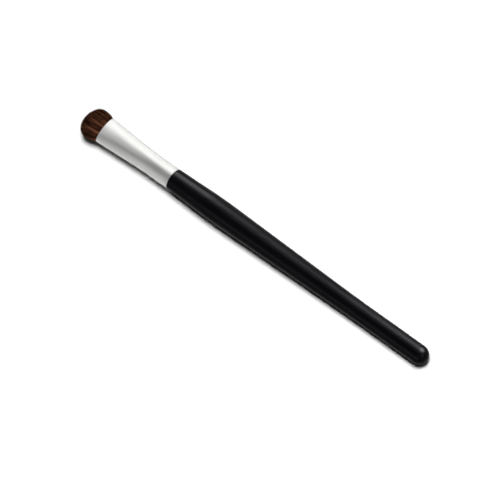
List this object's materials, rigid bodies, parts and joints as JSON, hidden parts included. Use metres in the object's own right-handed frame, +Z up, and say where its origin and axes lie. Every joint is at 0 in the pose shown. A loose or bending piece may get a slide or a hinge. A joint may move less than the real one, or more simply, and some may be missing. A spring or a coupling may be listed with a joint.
{
  "type": "eyeshadow brush",
  "caption": "Eyeshadow brush with a short domed oval tuft of soft hair, a flared aluminium ferrule and a slim lacquered wooden handle.",
  "frame": {"origin": "on the surface that the brush lies on, below the middle of its length", "axes": "+X along the brush from the tip of the hair to the butt of the handle, +Y across the wide side of the tuft, +Z up through its flat side"},
  "size_m": [0.155, 0.0118, 0.0091],
  "materials": {
    "birch_wood": "matte",
    "black_lacquer": "satin",
    "satin_aluminium": "satin",
    "wood_glue": "matte",
    "epoxy_resin": "gloss",
    "binding_thread": "matte",
    "brush_hair": "matte"
  },
  "bodies": {
    "brush": {"handle": "birch_wood", "lacquer_coat": "black_lacquer", "ferrule": "satin_aluminium", "tenon_adhesive": "wood_glue", "resin_plug": "epoxy_resin", "root_binding": "binding_thread", "hair_roots": "brush_hair"},
    "tuft": {"hair_tuft": "brush_hair"}
  },
  "joints": [
    {"name": "tuft_flex", "type": "hinge", "parent": "brush", "child": "tuft", "pos_m": [-0.07002, 0, 0.00457], "axis": [0, 1, 0], "range_deg": [-25, 25], "stiffness_Nm_per_rad": 0.002, "deforming": ["hair_tuft"]}
  ]
}
